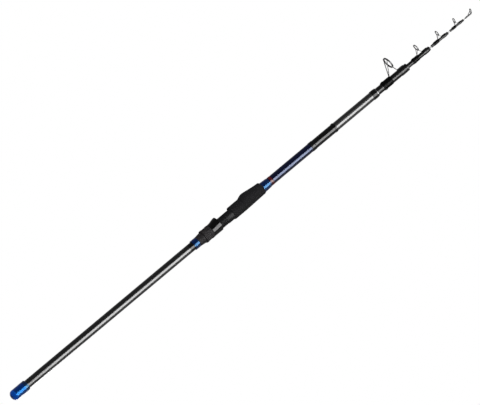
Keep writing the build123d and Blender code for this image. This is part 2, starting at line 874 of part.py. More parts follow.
def guide_wrap(guide, carrier_r, near, far):
    """The varnished thread wrap over one foot, raised where the foot lies under it."""
    outward = 1 if far > near else -1
    wrap_near = near + outward * guide.wire_d
    wrap_far = far + outward * wrap_margin
    z_0, z_1 = min(wrap_near, wrap_far), max(wrap_near, wrap_far)
    wrap = band(z_0, z_1, carrier_r, guide.wrap_cover, guide.wrap_cover)
    hump_breadth = guide.foot_breadth + 2 * guide.wrap_cover
    wrap += saddle(
        wrap_near, far + outward * guide.wrap_cover, carrier_r, guide.wrap_cover / 6,
        guide.foot_thickness + guide.wrap_cover, hump_breadth, hump_breadth * foot_end_share,
    )
    room_breadth = guide.foot_breadth + 2 * bond_gap
    foot_room = saddle(
        near, far + outward * bond_gap, carrier_r, -guide.foot_thickness,
        guide.foot_thickness + bond_gap, room_breadth, room_breadth * foot_end_share,
    )
    return wrap - foot_room


def guide_nodes(name, guide, height, carrier_r):
    """The four pieces of a guide, by node name."""
    (rear_near, rear_far), (front_near, front_far) = guide_feet(guide, height)
    return {
        f"{name}_frame": guide_frame(guide, height, carrier_r),
        f"{name}_ring": guide_ring(guide, height),
        f"{name}_rear_wrap": guide_wrap(guide, carrier_r, rear_near, rear_far),
        f"{name}_front_wrap": guide_wrap(guide, carrier_r, front_near, front_far),
    }


def sliding_sleeve(bottom, top, bore_r, outer_r):
    """The sleeve of a guide that slides on the tip section until the blank fills its bore."""
    rounding = (outer_r - bore_r) / 3
    return turned((bore_r, bottom), (outer_r, bottom, rounding), (outer_r, top, rounding), (bore_r, top))


# Tip top


def tip_tube_r(z):
    return tip_tube_outer_r


def tip_ring_place():
    return ring_place(tip_end_height + tip_ring_ahead, tip_rim_reach + tip_ring_d / 2, tip_ring_lean)


def tip_top_tube():
    """A metal tube closed at its end, glued over the tip."""
    bore_top = tip_end_height + bond_gap
    return turned(
        (tip_tube_bore_r, tip_tube_height), (tip_tube_outer_r, tip_tube_height),
        (tip_tube_outer_r, tip_tube_top, tip_tube_outer_r / 3), (0, tip_tube_top),
        (0, bore_top), (tip_tube_bore_r, bore_top),
    )


def tip_top_frame():
    """The last ring's rim, braced back to a saddle on the tube by two wires."""
    place = tip_ring_place()
    rim_middle_r = tip_ring_d / 2 - tip_ring_wall / 2
    tube_room = sleeve(tip_end_height, tip_tube_top + bond_gap, 0, tip_tube_outer_r + bond_gap)
    rim = place * ring_rim(tip_ring_d / 2, tip_ring_wall, tip_ring_width) - tube_room
    saddle_far = tip_tube_height + tip_saddle_rise
    saddle_near = saddle_far + tip_saddle_length
    breadth = 2 * tip_tube_outer_r
    foot = saddle(saddle_near, saddle_far, tip_tube_r, bond_gap, tip_saddle_thickness, breadth, breadth)
    side = sqrt(1 - tip_ring_leg_share**2) * rim_middle_r
    foot_y = breadth / 2 - tip_ring_wire_d / 2
    foot_x = -sqrt((tip_tube_outer_r + tip_saddle_thickness / 2) ** 2 - foot_y**2)
    foot_z = saddle_near - tip_ring_wire_d / 2
    legs = []
    for y_sign in (-1, 1):
        on_rim = Pos(-rim_middle_r * tip_ring_leg_share, y_sign * side, -tip_ring_width / 2)
        legs.append(bar((place * on_rim).position, (foot_x, y_sign * foot_y, foot_z), tip_ring_wire_d))
    return rim + foot + cut_legs(legs[0] + legs[1], place, rim_middle_r, tip_ring_width, tip_tube_r,
                                 tip_saddle_thickness, saddle_far, tip_tube_top)


def tip_top_ring():
    return tip_ring_place() * ring_insert(tip_ring_d / 2 - tip_ring_wall, tip_ring_insert, tip_ring_width)


def sleeve_3_r(z):
    return sleeve_3_outer_r


def sleeve_4_r(z):
    return sleeve_4_outer_r


def nodes():
    """Every piece of the rod, by node name."""
    return {
        "butt_cap": butt_cap(),
        "cap_bumper": cap_bumper(),
        "butt_collar": butt_collar(),
        "collar_seal": collar_seal(),
        "butt_tube": butt_tube(),
        "rear_trim_ring": rear_trim_ring(),
        "rear_cone": rear_cone(),
        "seat_barrel": seat_barrel(),
        "seat_arbors": seat_arbors(),
        "lock_nut": lock_nut(),
        "sliding_hood": sliding_hood(),
        "hood_liner": hood_liner(),
        "fixed_hood": fixed_hood(),
        "fixed_hood_liner": fixed_hood_liner(),
        "foregrip": foregrip(),
        "front_trim_ring": front_trim_ring(),
        "accent_band": accent_band(),
        "mid_wrap": mid_wrap(),
        "lacquer_ring": lacquer_ring(),
        "mouth_wrap": mouth_wrap(),
        "mouth_ring": mouth_ring(),
        "section_2_tube": section_tube(section_2),
        "section_2_mouth_ring": section_2_mouth_ring(),
        "section_3_tube": section_tube(section_3),
        "tip_blank": tip_blank(),
        "tip_top_tube": tip_top_tube(),
        "tip_top_frame": tip_top_frame(),
        "tip_top_ring": tip_top_ring(),
        "guide_3_sleeve": sliding_sleeve(sleeve_3_height, sleeve_3_top, sleeve_3_bore_r, sleeve_3_outer_r),
        "guide_4_sleeve": sliding_sleeve(sleeve_4_height, sleeve_4_top, sleeve_4_bore_r, sleeve_4_outer_r),
        **guide_nodes("guide_1", guide_1, guide_1_height, section_2.outside_r),
        **guide_nodes("guide_2", guide_2, guide_2_height, section_3.outside_r),
        **guide_nodes("guide_3", guide_3, guide_3_height, sleeve_3_r),
        **guide_nodes("guide_4", guide_4, guide_4_height, sleeve_4_r),
    }


def print_travels():
    """The travels that the joints have, in millimetres."""
    print("section_2", round(section_2_travel, 3))
    print("section_3", round(section_3_travel, 3))
    print("tip", round(tip_travel, 3))


os.makedirs("parts", exist_ok=True)
for name, shape in nodes().items():
    export_step(shape, f"parts/{name}.step")
print_travels()
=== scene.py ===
from math import atan2, asin, cos, pi, radians, sin, sqrt, tan

import bmesh
import bpy
from mathutils import Matrix, Vector


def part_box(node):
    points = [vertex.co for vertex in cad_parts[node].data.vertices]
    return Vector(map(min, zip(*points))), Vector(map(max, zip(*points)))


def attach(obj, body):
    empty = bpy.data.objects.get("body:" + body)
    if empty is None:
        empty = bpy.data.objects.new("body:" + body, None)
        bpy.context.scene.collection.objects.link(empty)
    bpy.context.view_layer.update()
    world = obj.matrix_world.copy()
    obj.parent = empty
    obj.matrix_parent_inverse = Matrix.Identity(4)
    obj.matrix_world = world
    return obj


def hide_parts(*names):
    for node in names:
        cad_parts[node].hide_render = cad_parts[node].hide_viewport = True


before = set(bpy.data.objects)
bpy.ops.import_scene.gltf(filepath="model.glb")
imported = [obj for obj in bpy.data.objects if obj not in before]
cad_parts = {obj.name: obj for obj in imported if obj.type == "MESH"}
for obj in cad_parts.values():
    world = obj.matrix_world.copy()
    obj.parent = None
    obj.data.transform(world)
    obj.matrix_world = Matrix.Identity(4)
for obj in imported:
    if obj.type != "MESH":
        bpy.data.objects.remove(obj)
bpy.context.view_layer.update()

mm = 0.001

# The camera stands far off and a little below the rod, with a long lens. It is turned on its side,
# so that the upright rod rises from the lower left corner of the picture to the upper right.
# The picture is 480 x 405 pixels.
picture_width_px = 480
pixel_mm = 2.3
look_up_deg = 18.0
rod_rise_deg = 39.89
middle_of_view = Vector((-7.2 * mm, 0, 722.6 * mm))
camera_distance = 42.0
camera_data = bpy.data.cameras.new("camera")
camera_data.sensor_width = 36.0
camera_data.lens = camera_data.sensor_width * camera_distance / (picture_width_px * pixel_mm * mm)
camera_data.clip_start = 10.0
camera_data.clip_end = 300.0
camera = bpy.data.objects.new("camera", camera_data)
bpy.context.scene.collection.objects.link(camera)
look = Vector((0, cos(radians(look_up_deg)), sin(radians(look_up_deg))))
roll = Matrix.Rotation(radians(rod_rise_deg - 90), 4, look)
upright = look.to_track_quat("-Z", "Y").to_matrix().to_4x4()
camera.matrix_world = Matrix.Translation(middle_of_view - look * camera_distance) @ roll @ upright
bpy.context.scene.camera = camera
bpy.context.scene.view_settings.view_transform = "Standard"

# The studio: a white surround that lights softly, a pale floor that holds the shadow, a tall panel of
# light that gives the long highlight, a faint one at its side, a low one behind the rod for views
# from there, and a soft sun.
soft_level = 0.72
floor_level = 0.93


def add_node(owner, kind, inputs=None, **settings):
    """One more shader node in a finish or the surround: sockets get numbers or another node's output."""
    node = owner.node_tree.nodes.new(kind)
    for key, value in settings.items():
        setattr(node, key, value)
    for key, value in (inputs or {}).items():
        if isinstance(value, bpy.types.NodeSocket):
            owner.node_tree.links.new(value, node.inputs[key])
        else:
            node.inputs[key].default_value = value
    return node


world = bpy.data.worlds.new("white_surround")
bpy.context.scene.world = world
world.use_nodes = True
background = world.node_tree.nodes["Background"]
background.inputs["Color"].default_value = (1, 1, 1, 1)
ray = add_node(world, "ShaderNodeLightPath").outputs
seen = add_node(world, "ShaderNodeMath", {0: ray["Is Camera Ray"], 1: ray["Is Glossy Ray"]},
                operation="ADD")
seen_any = add_node(world, "ShaderNodeMath", {0: seen.outputs[0], 1: ray["Is Transmission Ray"]},
                    operation="ADD", use_clamp=True)
level = add_node(world, "ShaderNodeMapRange", {"Value": seen_any.outputs[0], "To Min": soft_level})
world.node_tree.links.new(level.outputs["Result"], background.inputs["Strength"])

floor_half = 4.0
floor_mesh = bpy.data.meshes.new("floor")
floor_corners = [(-floor_half, -floor_half, 0), (floor_half, -floor_half, 0),
                 (floor_half, floor_half, 0), (-floor_half, floor_half, 0)]
floor_mesh.from_pydata(floor_corners, [], [(0, 1, 2, 3)])
floor = bpy.data.objects.new("floor", floor_mesh)
bpy.context.scene.collection.objects.link(floor)
floor_finish = bpy.data.materials.new("pale_floor")
floor_finish.use_nodes = True
floor_nodes = floor_finish.node_tree.nodes
floor_nodes.remove(floor_nodes["Principled BSDF"])
floor_grey = (floor_level, floor_level, floor_level, 1)
paint = add_node(floor_finish, "ShaderNodeBsdfDiffuse", {"Color": floor_grey})
clear = add_node(floor_finish, "ShaderNodeBsdfTransparent")
plain = add_node(floor_finish, "ShaderNodeEmission", {"Strength": floor_level})
in_gloss = add_node(floor_finish, "ShaderNodeLightPath").outputs["Is Glossy Ray"]
from_below = add_node(floor_finish, "ShaderNodeNewGeometry").outputs["Backfacing"]
reflected = add_node(floor_finish, "ShaderNodeMixShader",
                     {"Fac": in_gloss, 1: paint.outputs["BSDF"], 2: plain.outputs["Emission"]})
either = add_node(floor_finish, "ShaderNodeMixShader",
                  {"Fac": from_below, 1: reflected.outputs["Shader"], 2: clear.outputs["BSDF"]})
surface = floor_nodes["Material Output"].inputs["Surface"]
floor_finish.node_tree.links.new(either.outputs["Shader"], surface)
floor_mesh.materials.append(floor_finish)


def light_panel(name, turn_deg, away, width, height, radiance, middle_height=None):
    """An upright panel of light that faces the rod and shows only in reflections. Without a middle
    height of its own it stands where the camera sees its reflection on the rod's middle."""
    data = bpy.data.lights.new(name, "AREA")
    data.shape = "RECTANGLE"
    data.size, data.size_y = width, height
    data.energy = radiance * width * height * pi
    panel = bpy.data.objects.new(name, data)
    turn = radians(turn_deg)
    if middle_height is None:
        middle_height = middle_of_view.z + away * tan(radians(look_up_deg))
    panel.location = (away * sin(turn), -away * cos(turn), middle_height)
    panel.rotation_euler = (radians(90), 0, turn)
    panel.visible_diffuse = False
    panel.visible_camera = False
    bpy.context.scene.collection.objects.link(panel)


light_panel("front_panel", 28.0, 2.0, 1.85, 2.2, 78.0)
light_panel("side_panel", 78.0, 2.2, 1.7, 2.2, 2.5)
back_panel_height = 0.95
light_panel("back_panel", 152.0, 3.0, 1.2, back_panel_height, 12.0, middle_height=back_panel_height / 2)
sun_data = bpy.data.lights.new("soft_sun", "SUN")
sun_data.energy = 0.9
sun_data.angle = radians(30)
sun = bpy.data.objects.new("soft_sun", sun_data)
sun.rotation_euler = (radians(48), 0, radians(-25))
bpy.context.scene.collection.objects.link(sun)

# Butt tube: one long carbon tube, bare and grey on the handle, lacquered blue and then black above
# the reel seat, and bare again near its mouth. Rolled from carbon tape on a steel mandrel, baked,
# and painted. Its spiral shows faintly through the finish.


def new_finish(name, colour, roughness, specular=0.5, metallic=0.0, tint=(1, 1, 1)):
    """A material with its plain values on the shader's own sockets."""
    finish = bpy.data.materials.new(name)
    finish.use_nodes = True
    shader = finish.node_tree.nodes["Principled BSDF"]
    shader.inputs["Base Color"].default_value = (*colour, 1)
    shader.inputs["Roughness"].default_value = roughness
    shader.inputs["Specular IOR Level"].default_value = specular
    shader.inputs["Metallic"].default_value = metallic
    shader.inputs["Specular Tint"].default_value = (*tint, 1)
    return finish


def place_on_rod(finish, stretch):
    """The point on the rod in metres, stretched along each axis."""
    point = add_node(finish, "ShaderNodeTexCoord").outputs["Object"]
    return add_node(finish, "ShaderNodeMapping", {"Vector": point, "Scale": stretch}).outputs["Vector"]


def speckle(finish, per_metre, stretch=(1, 1, 1), detail=3.0):
    """A cloudy value from 0 to 1 with so many blotches in a metre."""
    point = place_on_rod(finish, stretch)
    sockets = {"Vector": point, "Scale": per_metre, "Detail": detail}
    return add_node(finish, "ShaderNodeTexNoise", sockets).outputs["Fac"]


def spiral(finish, pitch_mm):
    """A value that rises and falls along a spiral round the rod, as wound tape or thread does."""
    parts = add_node(finish, "ShaderNodeSeparateXYZ", {"Vector": place_on_rod(finish, (1, 1, 1))})
    turn = add_node(finish, "ShaderNodeMath", {0: parts.outputs["Y"], 1: parts.outputs["X"]},
                    operation="ARCTAN2")
    along = add_node(finish, "ShaderNodeMath", {0: parts.outputs["Z"], 1: 2 * pi / (pitch_mm * mm)},
                     operation="MULTIPLY")
    both = add_node(finish, "ShaderNodeMath", {0: turn.outputs[0], 1: along.outputs[0]}, operation="ADD")
    wave = add_node(finish, "ShaderNodeMath", {0: both.outputs[0]}, operation="SINE")
    half = add_node(finish, "ShaderNodeMath", {0: wave.outputs[0], 1: 0.5, 2: 0.5},
                    operation="MULTIPLY_ADD")
    return half.outputs[0]


def vary_colour(finish, value, first, second, low=0.35, high=0.65):
    """Lets a value from 0 to 1 move the colour between two colours."""
    ramp = add_node(finish, "ShaderNodeValToRGB", {"Fac": value})
    ramp.color_ramp.elements[0].position = low
    ramp.color_ramp.elements[0].color = (*first, 1)
    ramp.color_ramp.elements[1].position = high
    ramp.color_ramp.elements[1].color = (*second, 1)
    shader = finish.node_tree.nodes["Principled BSDF"]
    finish.node_tree.links.new(ramp.outputs["Color"], shader.inputs["Base Color"])


def vary_roughness(finish, value, low, high):
    """Lets a value from 0 to 1 move the roughness between two levels."""
    span = add_node(finish, "ShaderNodeMapRange", {"Value": value, "To Min": low, "To Max": high})
    shader = finish.node_tree.nodes["Principled BSDF"]
    finish.node_tree.links.new(span.outputs["Result"], shader.inputs["Roughness"])


def raise_surface(finish, value, height_mm, strength=0.6):
    """Lets a value from 0 to 1 lift the surface by a height, over any relief it already has."""
    shader = finish.node_tree.nodes["Principled BSDF"]
    bump = add_node(finish, "ShaderNodeBump",
                    {"Height": value, "Strength": strength, "Distance": height_mm * mm})
    for link in list(shader.inputs["Normal"].links):
        finish.node_tree.links.new(link.from_socket, bump.inputs["Normal"])
    finish.node_tree.links.new(bump.outputs["Normal"], shader.inputs["Normal"])


def add_piece(name, rings, finishes, body, replaced, closed=False, zone_of=None, sharp_deg=32):
    """A skin over rings of points, each ring with the same number of points or just one. A closed
    skin joins its last ring to its first. The piece rides on a body in place of CAD nodes."""
    mesh = bmesh.new()
    rows = [[mesh.verts.new(point) for point in ring] for ring in rings]
    pairs = list(zip(rows, rows[1:])) + ([(rows[-1], rows[0])] if closed else [])
    for near, far in pairs:
        count = max(len(near), len(far))
        for i in range(count if count > 1 else 0):
            j = (i + 1) % count
            corners = [near[i % len(near)], near[j % len(near)], far[j % len(far)], far[i % len(far)]]
            face = mesh.faces.new(list(dict.fromkeys(corners)))
            face.smooth = True
            if zone_of:
                face.material_index = zone_of(face.calc_center_median())
    bmesh.ops.recalc_face_normals(mesh, faces=mesh.faces)
    data = bpy.data.meshes.new(f"{name}_skin")
    mesh.to_mesh(data)
    mesh.free()
    data.set_sharp_from_angle(angle=radians(sharp_deg))
    for finish in finishes:
        data.materials.append(finish)
    piece = bpy.data.objects.new(f"{name}_skin", data)
    bpy.context.scene.collection.objects.link(piece)
    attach(piece, body)
    if replaced:
        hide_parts(*replaced)
    return piece


def at(radius, turn, height):
    """The point at a radius, a turn and a height, in metres from millimetres."""
    return Vector((radius * cos(turn), radius * sin(turn), height)) * mm


def circle(radius, height, around=96):
    """A ring of points about the rod's axis. A radius of 0 is one point."""
    if radius == 0:
        return [Vector((0, 0, height * mm))]
    return [at(radius, 2 * pi / around * i, height) for i in range(around)]


def softened(outline, rounding=0.35, steps=3):
    """Rounds an outline's corners. A corner is (radius, height) or has its own rounding as well."""
    result = []
    count = len(outline)
    for i, corner in enumerate(outline):
        here = Vector(corner[:2])
        size = corner[2] if len(corner) == 3 else rounding
        before = Vector(outline[i - 1][:2]) - here
        after = Vector(outline[(i + 1) % count][:2]) - here
        on_axis = here.x == 0
        size = min(size, before.length * 0.45, after.length * 0.45)
        if on_axis or size < 0.01:
            result.append(tuple(here))
            continue
        first = here + before.normalized() * size
        last = here + after.normalized() * size
        for k in range(steps + 1):
            t = k / steps
            result.append(tuple(first * (1 - t) ** 2 + here * 2 * t * (1 - t) + last * t * t))
    return result


def turned(name, outline, finishes, body, replaced, around=96, zone_of=None):
    """A piece spun about the rod's axis from an outline, solid if the outline starts on the axis."""
    outline = softened(outline)
    solid = outline[0][0] == 0
    rings = [circle(radius, height, around) for radius, height in outline]
    add_piece(name, rings, finishes, body, replaced, closed=not solid, zone_of=zone_of)


def spans(node):
    """A node's outer radius across the rod, and its lowest and highest point, in millimetres."""
    low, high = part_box(node)
    return max(-low.y, high.y) / mm, low.z / mm, high.z / mm


lacquer_r, tube_low, tube_top = spans("butt_tube")
handle_r = lacquer_r - 0.4
bare_rear_r = lacquer_r - 0.25
bare_front_r = bare_rear_r - 0.2
mouth_bore_r = bare_front_r - 1.1
bore_r = mouth_bore_r + 0.36
front_ring_r, front_ring_low, front_ring_top = spans("front_trim_ring")
rear_ring_r, rear_ring_low, rear_ring_top = spans("rear_trim_ring")
_, mid_wrap_low, _ = spans("mid_wrap")
lacquer_ring_r, lacquer_ring_low, lacquer_top = spans("lacquer_ring")

tape_pitch = 3.2
carbon = new_finish("handle_carbon", (0.004, 0.004, 0.004), 0.2, specular=0.1)
carbon_grain = speckle(carbon, 900, stretch=(1, 1, 0.3))
vary_colour(carbon, carbon_grain, (0.001, 0.001, 0.001), (0.006, 0.006, 0.006), 0.4, 0.7)
vary_roughness(carbon, carbon_grain, 0.16, 0.28)
raise_surface(carbon, spiral(carbon, tape_pitch), 0.03, 0.4)
raise_surface(carbon, speckle(carbon, 2600, detail=2.0), 0.012, 0.4)

black_gloss = new_finish("black_gloss", (0.001, 0.001, 0.001), 0.16, specular=0.045)
vary_colour(black_gloss, speckle(black_gloss, 240), (0.0005, 0.0005, 0.0005), (0.002, 0.002, 0.002))
raise_surface(black_gloss, spiral(black_gloss, tape_pitch), 0.02, 0.25)

blue_lacquer = new_finish("blue_lacquer", (0.0005, 0.001, 0.012), 0.15, specular=0.076,
                          tint=(0.64, 0.74, 1))
vary_colour(blue_lacquer, speckle(blue_lacquer, 3200, detail=1.0), (0.0003, 0.0008, 0.009),
            (0.0008, 0.0018, 0.02), 0.42, 0.62)
raise_surface(blue_lacquer, spiral(blue_lacquer, tape_pitch), 0.02, 0.25)

bare_carbon = new_finish("bare_carbon", (0.004, 0.004, 0.004), 0.22, specular=0.125)
vary_colour(bare_carbon, speckle(bare_carbon, 900, stretch=(1, 1, 0.3)), (0.001, 0.001, 0.001),
            (0.007, 0.007, 0.007), 0.4, 0.7)
raise_surface(bare_carbon, spiral(bare_carbon, tape_pitch), 0.025, 0.3)


black_rear_low = rear_ring_low - 13.0
bore_taper_length = 300


def butt_tube_zone(point):
    """The number of the finish for each of the tube's five stretches."""
    z = point.z / mm
    if z < black_rear_low:
        return 0
    if z < front_ring_low:
        return 1
    if z < mid_wrap_low:
        return 2
    return 1 if z < lacquer_ring_low else 3


turned(
    "butt_tube",
    [(bore_r, tube_low), (handle_r, tube_low), (handle_r, black_rear_low, 0), (handle_r, front_ring_low),
     (lacquer_r, front_ring_low), (lacquer_r, mid_wrap_low, 0), (lacquer_r, lacquer_ring_low, 0),
     (lacquer_r, lacquer_top), (bare_rear_r, lacquer_top),
     (bare_front_r, tube_top), (mouth_bore_r, tube_top), (bore_r, tube_top - bore_taper_length)],
    [carbon, black_gloss, blue_lacquer, bare_carbon], "butt_section", ["butt_tube"],
    zone_of=butt_tube_zone,
)

# Butt end: a threaded aluminium collar bonded on the tube, its rubber seal, the rubber bumper that
# the sections rest on, and the blue anodised cap that screws over them. The cap's end is a dome
# with a turned groove round its button, coloured a paler blue as painted light on the dome. Its
# mouth has a second groove in it and is coloured a darker blue as painted shade on the rim.
blue_metal = new_finish("blue_metal", (0.0004, 0.013, 0.1), 0.2, specular=0.15, tint=(0.06, 0.43, 1))
vary_colour(blue_metal, speckle(blue_metal, 1500, stretch=(1, 1, 0.15)), (0.0003, 0.011, 0.088),
            (0.0005, 0.015, 0.112))
vary_roughness(blue_metal, speckle(blue_metal, 700), 0.2, 0.3)
raise_surface(blue_metal, speckle(blue_metal, 3000, stretch=(0.2, 0.2, 3)), 0.006, 0.4)
# The dome's paler blue is painted light: it stands for the light that the rounded end catches.
blue_dome_painted_light = new_finish("blue_dome_painted_light", (0.002, 0.05, 0.3), 0.34, specular=0.1, tint=(0.06, 0.43, 1))
vary_colour(blue_dome_painted_light, speckle(blue_dome_painted_light, 1500), (0.0018, 0.046, 0.28), (0.0022, 0.054, 0.32))
raise_surface(blue_dome_painted_light, speckle(blue_dome_painted_light, 3000), 0.006, 0.4)
# The mouth's darker blue is painted shade on the rim where the cap meets the tube.
blue_rim_painted_shade = new_finish("blue_rim_painted_shade", (0.002, 0.009, 0.035), 0.24, specular=0.11, tint=(0.3, 0.68, 1))
vary_colour(blue_rim_painted_shade, speckle(blue_rim_painted_shade, 1500), (0.0015, 0.007, 0.028), (0.0025, 0.011, 0.042))
raise_surface(blue_rim_painted_shade, speckle(blue_rim_painted_shade, 3000), 0.006, 0.4)

cap_r, _, cap_top = spans("butt_cap")
cap_floor = 13.5
cap_bore_r = cap_r - 1.4
dome_round = 11.0
dome_steps = 30
button_step = 12
button_groove = 0.35
mouth_groove = 0.4
rim_low = cap_top - 8.5
cap_outline = [(0, 0, 0)]
for i in range(dome_steps + 1):
    turn = pi / 2 * i / dome_steps
    sunk = button_groove if i in (button_step, button_step + 1) else 0.0
    cap_outline.append((cap_r - dome_round + (dome_round - sunk) * sin(turn),
                        dome_round - (dome_round - sunk) * cos(turn), 0))
cap_outline += [
    (cap_r, rim_low, 0), (cap_r, cap_top - 4.0, 0.2), (cap_r - mouth_groove, cap_top - 3.6, 0.15),
    (cap_r - mouth_groove, cap_top - 3.2, 0.15), (cap_r, cap_top - 2.8, 0.2), (cap_r, cap_top, 0.6),
    (cap_bore_r, cap_top, 0.2), (cap_bore_r, cap_floor, 0.3), (0, cap_floor, 0)]


def cap_zone(point):
    """The dome gets a paler blue as painted light, the mouth a darker blue as painted shade."""
    if point.z / mm > rim_low:
        return 2
    return 1 if point.z / mm < dome_round else 0


turned("butt_cap", cap_outline, [blue_metal, blue_dome_painted_light, blue_rim_painted_shade], "butt_cap",
       ["butt_cap"], zone_of=cap_zone)

bare_metal = new_finish("turned_aluminium", (0.6, 0.6, 0.61), 0.3, metallic=1.0)
vary_colour(bare_metal, speckle(bare_metal, 900), (0.52, 0.52, 0.53), (0.66, 0.66, 0.67))
raise_surface(bare_metal, speckle(bare_metal, 4000, stretch=(0.1, 0.1, 2)), 0.01, 0.5)
soft_rubber = new_finish("soft_rubber", (0.012, 0.012, 0.012), 0.7, specular=0.25)
vary_colour(soft_rubber, speckle(soft_rubber, 600), (0.009, 0.009, 0.009), (0.018, 0.018, 0.018))
raise_surface(soft_rubber, speckle(soft_rubber, 2600), 0.03, 0.5)


def dress(node, finish):
    """Gives a CAD node that stays in view a finish of the scene's own."""
    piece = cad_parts[node]
    for slot in piece.material_slots:
        slot.material = finish


dress("butt_collar", bare_metal)
dress("collar_seal", soft_rubber)
dress("cap_bumper", soft_rubber)

# Trim rings at both ends of the reel seat: blue anodised aluminium, turned, pressed on the tube and
# glued. The rear one is plain, and the front one tapers from the grip down to the lacquer.
ring_blue = new_finish("ring_blue", (0.0003, 0.006, 0.045), 0.18, specular=0.105, tint=(0.2, 0.55, 1))
vary_colour(ring_blue, speckle(ring_blue, 1500, stretch=(1, 1, 0.15)), (0.0002, 0.005, 0.038),
            (0.0004, 0.007, 0.052))
raise_surface(ring_blue, speckle(ring_blue, 3000, stretch=(0.2, 0.2, 3)), 0.006, 0.4)

turned(
    "rear_trim_ring",
    [(handle_r, rear_ring_low, 0.1), (rear_ring_r, rear_ring_low, 0.5),
     (rear_ring_r, rear_ring_low + 2.6, 0.1), (rear_ring_r - 0.25, rear_ring_low + 2.9, 0.1),
     (rear_ring_r - 0.25, rear_ring_low + 3.3, 0.1), (rear_ring_r, rear_ring_low + 3.6, 0.1),
     (rear_ring_r, rear_ring_top, 0.5), (handle_r, rear_ring_top, 0.1)],
    [ring_blue], "butt_section", ["rear_trim_ring"],
)
front_ring_end_r = lacquer_r + 0.8
turned(
    "front_trim_ring",
    [(lacquer_r, front_ring_low, 0.1), (front_ring_r, front_ring_low, 0.5),
     (front_ring_r - 0.12, front_ring_low + 3.0, 0.1), (front_ring_r - 0.4, front_ring_low + 3.3, 0.1),
     (front_ring_r - 0.42, front_ring_low + 3.7, 0.1), (front_ring_r - 0.25, front_ring_low + 4.0, 0.1),
     (front_ring_end_r, front_ring_top, 0.4), (lacquer_r, front_ring_top, 0.1)],
    [ring_blue], "butt_section", ["front_trim_ring"],
)

# Reel seat barrel: moulded from filled nylon, with a screw thread over its rear part, a plain front
# part, and a flat channel on the guide side that takes the reel's foot. Three rings of light board
# centre it on the thinner tube, and it is glued on.
seat_plastic = new_finish("seat_plastic", (0.007, 0.007, 0.0075), 0.45, specular=0.015)
seat_cloud = speckle(seat_plastic, 1400)
vary_colour(seat_plastic, seat_cloud, (0.005, 0.005, 0.0055), (0.01, 0.01, 0.011))
vary_roughness(seat_plastic, seat_cloud, 0.38, 0.52)
raise_surface(seat_plastic, speckle(seat_plastic, 3500), 0.015, 0.5)

barrel_r, barrel_low, barrel_top = spans("seat_barrel")
seat_bore_r = handle_r + 0.8
thread_r = barrel_r - 0.6
thread_depth = 0.6
thread_pitch = 2.0
thread_fade = 1.5
bed_reach = seat_bore_r + 1.0
bed_half = 7.9
_, hood_low, hood_top = spans("sliding_hood")
_, fixed_low, _ = spans("fixed_hood")
thread_top = hood_top + 20.0
pocket_top = fixed_low + 14.0


def barrel_surface_r(turn, z):
    """The thread's helix, then the plain front part."""
    if z > thread_top:
        return thread_r + (barrel_r - thread_r) * min(1.0, (z - thread_top) / thread_pitch)
    share = ((z - barrel_low) / thread_pitch - turn / (2 * pi)) % 1.0
    ridge = max(0.0, min(1.0, 1.7 - 4.0 * abs(share - 0.5)))
    fade = min(1.0, (z - barrel_low) / thread_fade, (thread_top - z) / thread_fade)
    return thread_r - thread_depth * (1 - ridge * max(0.0, fade))


def barrel_ring(z, around=144):
    """One ring of the barrel's outside, cut flat over the channel."""
    points = []
    flat = z < pocket_top
    edge = asin(bed_half / barrel_surface_r(pi, z))
    corner = atan2(bed_half, bed_reach) if flat else edge
    bed_count = 24
    for i in range(bed_count + 1):
        turn = pi - corner + 2 * corner * i / bed_count
        radius = bed_reach / -cos(turn) if flat else barrel_surface_r(turn, z)
        points.append(at(radius, turn, z))
    rest = around - bed_count - 1
    run = 2 * pi - 2 * edge
    for i in range(rest):
        turn = pi + edge + run * (i + (0 if flat else 1)) / (rest - (1 if flat else -1))
        radius = barrel_surface_r(turn % (2 * pi), z)
        points.append(at(radius, turn, z))
    return points


steps_a_turn = 8
pocket_step = 0.01
thread_steps = int((thread_top - barrel_low) / thread_pitch * steps_a_turn)
barrel_heights = [barrel_low + (thread_top - barrel_low) * i / thread_steps
                  for i in range(thread_steps + 1)]
barrel_heights += [thread_top + thread_pitch, pocket_top - pocket_step, pocket_top + pocket_step,
                   barrel_top]
barrel_rings = [barrel_ring(z) for z in barrel_heights]


def bore_like(ring, radius, z):
    """The points of a ring moved onto a round bore at a height."""
    return [at(radius, atan2(point.y, point.x), z) for point in ring]


barrel_rings.append(bore_like(barrel_rings[-1], seat_bore_r, barrel_top))
barrel_rings.append(bore_like(barrel_rings[0], seat_bore_r, barrel_low))
add_piece("seat_barrel", barrel_rings, [seat_plastic], "butt_section", ["seat_barrel"],
          closed=True, sharp_deg=40)

arbor_board = new_finish("arbor_board", (0.35, 0.27, 0.18), 0.8, specular=0.2)
vary_colour(arbor_board, speckle(arbor_board, 900), (0.28, 0.21, 0.14), (0.42, 0.33, 0.23))
raise_surface(arbor_board, speckle(arbor_board, 3000), 0.05, 0.5)
dress("seat_arbors", arbor_board)

# Rear cone and lock nut: both are dark rubber over nylon. The cone leads from the tube up to the
# seat. The nut runs on the thread and has rounded flutes round its two grip bands, with a smooth
# waist between them.
nut_rubber = new_finish("nut_rubber", (0.0135, 0.0125, 0.014), 0.62, specular=0.018)
nut_cloud = speckle(nut_rubber, 700)
vary_colour(nut_rubber, nut_cloud, (0.0115, 0.0105, 0.0115), (0.018, 0.016, 0.017))
raise_surface(nut_rubber, speckle(nut_rubber, 3200), 0.04, 0.6)

